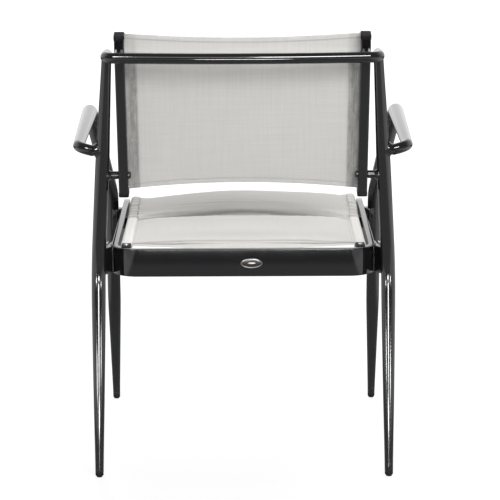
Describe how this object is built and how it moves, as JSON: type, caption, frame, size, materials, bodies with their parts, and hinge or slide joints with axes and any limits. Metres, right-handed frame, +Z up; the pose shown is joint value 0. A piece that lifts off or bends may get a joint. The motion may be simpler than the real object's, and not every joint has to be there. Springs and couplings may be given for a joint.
{
  "type": "sling patio chair",
  "caption": "Outdoor armchair with a gloss black tube frame, a woven back sling between two stiles, and a padded seat sling inside a flat bent seat hoop.",
  "frame": {"origin": "middle of the bounding box at floor level", "axes": "+Z up, -Y towards the side the sitter faces, +X towards the sitter's left arm"},
  "size_m": [0.6398, 0.6214, 0.8279],
  "materials": {
    "frame_paint": "gloss black powder coat with a clear top layer",
    "black_nylon": "moulded black nylon, slightly shiny",
    "bolt_steel": "stainless steel, machine finish",
    "seat_textile": "pale woven outdoor textile over foam, matt",
    "back_textile": "open woven vinyl-coated mesh, pale grey, matt",
    "rod_plastic": "extruded spline rod",
    "badge_metal": "polished plate with a satin field"
  },
  "bodies": {
    "root": {"rear_upright_left": "frame_paint", "rear_upright_right": "frame_paint", "front_leg_arm_left": "frame_paint", "front_leg_arm_right": "frame_paint", "top_rail": "frame_paint", "rear_foot_glide_left": "black_nylon", "rear_foot_glide_right": "black_nylon", "front_foot_glide_left": "black_nylon", "front_foot_glide_right": "black_nylon", "seat_hoop": "frame_paint", "seat_stretcher": "frame_paint", "rear_seat_bracket_left": "frame_paint", "rear_seat_bracket_right": "frame_paint", "rear_seat_bolt_left": "bolt_steel", "rear_seat_bolt_right": "bolt_steel", "front_seat_bracket_left": "frame_paint", "front_seat_bracket_right": "frame_paint", "front_seat_bolt_left": "bolt_steel", "front_seat_bolt_right": "bolt_steel", "seat_rail_left": "frame_paint", "seat_rail_right": "frame_paint", "rear_end_block_left": "black_nylon", "rear_end_block_right": "black_nylon", "rear_block_lug_left": "frame_paint", "rear_block_lug_right": "frame_paint", "rear_block_screw_left": "bolt_steel", "rear_block_screw_right": "bolt_steel", "front_end_block_left": "black_nylon", "front_end_block_right": "black_nylon", "front_block_screw_left": "bolt_steel", "front_block_screw_right": "bolt_steel", "seat_sleeve_left": "seat_textile", "seat_sleeve_right": "seat_textile", "seat_sling": "seat_textile", "back_stile_left": "frame_paint", "back_stile_right": "frame_paint", "stile_top_cap_left": "black_nylon", "stile_top_cap_right": "black_nylon", "stile_foot_cap_left": "black_nylon", "stile_foot_cap_right": "black_nylon", "lower_spacer_left": "frame_paint", "lower_spacer_right": "frame_paint", "lower_bolt_left": "bolt_steel", "lower_bolt_right": "bolt_steel", "upper_standoff_left": "frame_paint", "upper_standoff_right": "frame_paint", "upper_bolt_left": "bolt_steel", "upper_bolt_right": "bolt_steel", "back_sling": "back_textile", "spline_rod_left": "rod_plastic", "spline_rod_right": "rod_plastic", "badge": "badge_metal"}
  },
  "joints": []
}
